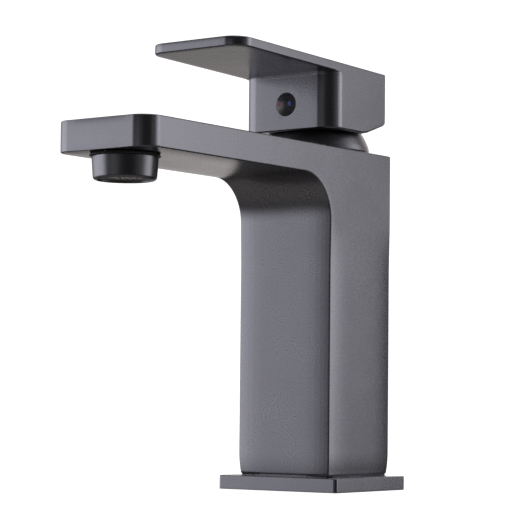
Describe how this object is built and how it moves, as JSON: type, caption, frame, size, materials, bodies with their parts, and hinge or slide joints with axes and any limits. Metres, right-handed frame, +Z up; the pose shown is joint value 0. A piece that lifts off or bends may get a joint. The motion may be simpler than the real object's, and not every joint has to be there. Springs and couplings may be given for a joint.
{
  "type": "basin mixer faucet",
  "caption": "Square column basin mixer with a flat spout, a flat lever on a domed neck, a ceramic-disc cartridge and a screw-on aerator.",
  "frame": {"origin": "on the deck, under the middle of the square column", "axes": "+Z up along the column, -Y towards the spout's tip and the lever's tip, -X the hot side"},
  "size_m": [0.0564, 0.1567, 0.169],
  "materials": {
    "body_finish": "satin gunmetal coating on cast brass",
    "plate_finish": "satin gunmetal coating on brass plate",
    "handle_finish": "satin gunmetal coating on cast metal",
    "dome_finish": "satin gunmetal coating on turned brass",
    "aerator_finish": "semi-matte near-black coating on turned brass",
    "raw_brass": "machined, uncoated",
    "pin_steel": "ground stainless",
    "grid_finish": "metallised plastic",
    "seal_rubber": "moulded, matte",
    "cartridge_nylon": "moulded",
    "driver_nylon": "moulded",
    "disc_ceramic": "lapped alumina ceramic, opaque",
    "button_plastic": "moulded, glossy",
    "hot_red": "inlaid, glossy",
    "cold_blue": "inlaid, glossy"
  },
  "bodies": {
    "column": {"body_casting": "body_finish", "base_plate": "plate_finish", "base_gasket": "seal_rubber", "cartridge_base": "cartridge_nylon", "cartridge_housing": "cartridge_nylon", "cartridge_oring": "seal_rubber", "port_seals": "seal_rubber", "disc_seals": "seal_rubber", "fixed_disc": "disc_ceramic", "retaining_nut": "raw_brass", "dome_oring": "seal_rubber", "dome_cover": "dome_finish", "aerator_shell": "aerator_finish", "aerator_ring": "seal_rubber", "aerator_washer": "seal_rubber", "aerator_cage": "cartridge_nylon", "flow_regulator": "driver_nylon", "inlet_screen": "pin_steel", "outlet_grid": "grid_finish"},
    "carrier": {"lever_carrier": "driver_nylon", "pivot_pin": "pin_steel"},
    "lever": {"lever_stem": "raw_brass", "handle": "handle_finish", "grub_screw": "pin_steel", "index_button": "button_plastic", "hot_mark": "hot_red", "cold_mark": "cold_blue"},
    "slider": {"moving_disc": "disc_ceramic", "disc_driver": "driver_nylon"}
  },
  "joints": [
    {"name": "temperature_turn", "type": "hinge", "parent": "column", "child": "carrier", "pos_m": [0, 0, 0.1295], "axis": [0, 0, 1], "range_deg": [-50, 50]},
    {"name": "flow_lift", "type": "hinge", "parent": "carrier", "child": "lever", "pos_m": [0, 0, 0.1295], "axis": [-1, 0, 0], "range_deg": [0, 25]},
    {"name": "disc_slide", "type": "slide", "parent": "carrier", "child": "slider", "axis": [0, -1, 0], "range_m": [0, 0.0039]}
  ],
  "couplings": [
    {"joint": "disc_slide", "follows": "flow_lift", "m_per_rad": 0.008929}
  ]
}
